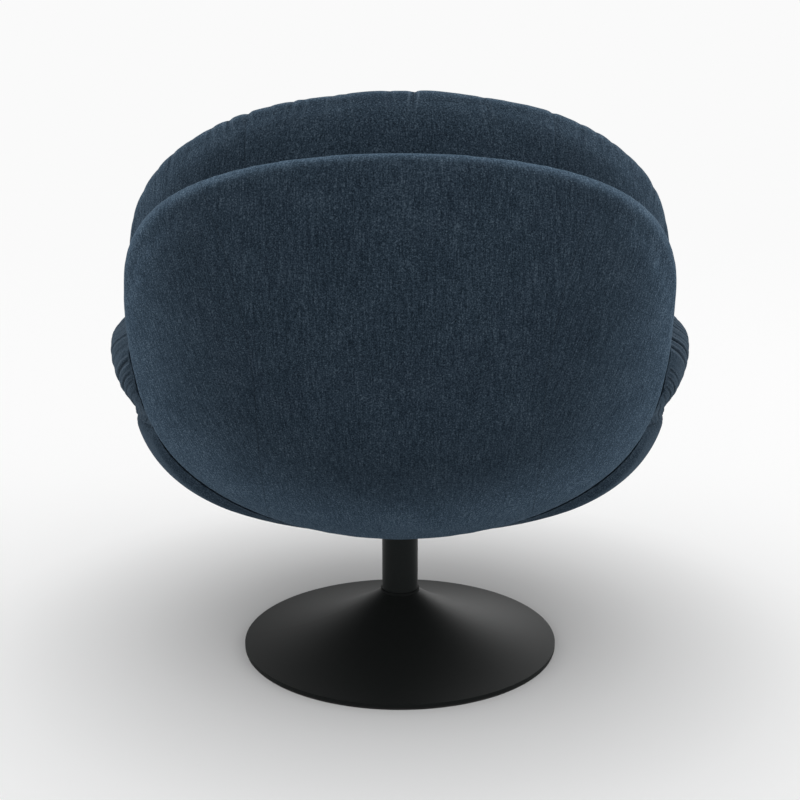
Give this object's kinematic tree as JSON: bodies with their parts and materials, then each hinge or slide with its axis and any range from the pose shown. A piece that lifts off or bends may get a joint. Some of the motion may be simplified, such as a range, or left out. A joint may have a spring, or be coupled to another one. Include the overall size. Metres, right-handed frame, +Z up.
{
  "type": "swivel armchair",
  "caption": "Upholstered lounge chair with a round padded seat shell, wrap-around gathered seat cushion, padded dished back and a swivel column on a trumpet base.",
  "frame": {"origin": "centre of the floor pad's underside, on the floor under the column axis", "axes": "+Z up along the column; the front of the chair faces -Y; +X is the right-hand side of the chair seen from the front"},
  "size_m": [0.856, 0.84, 0.807],
  "materials": {
    "cloth": "dark blue-grey melange weave with a soft nap",
    "foam": "firm cut foam",
    "felt": "black felt",
    "black_coat": "matt black powder coat",
    "cast": "as cast",
    "steel": "plain steel",
    "bush_plastic": "natural bearing plastic",
    "plywood": "moulded birch plywood"
  },
  "bodies": {
    "base": {"floor_pad": "felt", "trumpet_cover": "black_coat", "ballast_plate": "cast", "column_tube": "black_coat", "column_bolts": "steel", "lower_bush": "bush_plastic", "upper_bush": "bush_plastic", "lower_race": "steel", "ball_cage": "bush_plastic", "bearing_balls": "steel"},
    "chair": {"upper_race": "steel", "spindle": "steel", "retaining_ring": "steel", "seat_plate": "black_coat", "plate_bolts": "steel", "bolt_sleeves": "steel", "tee_nuts": "steel", "seat_board": "plywood", "seat_shell_pad": "cloth", "seat_foam": "foam", "seat_cushion": "cloth", "back_board": "plywood", "back_shell_pad": "cloth", "back_cushion": "cloth", "back_bracket_left": "steel", "back_bracket_right": "steel", "bracket_screws": "steel"}
  },
  "joints": [
    {"name": "swivel", "type": "hinge", "parent": "base", "child": "chair", "pos_m": [0, 0, 0.15], "axis": [0, 0, 1], "continuous": true}
  ]
}
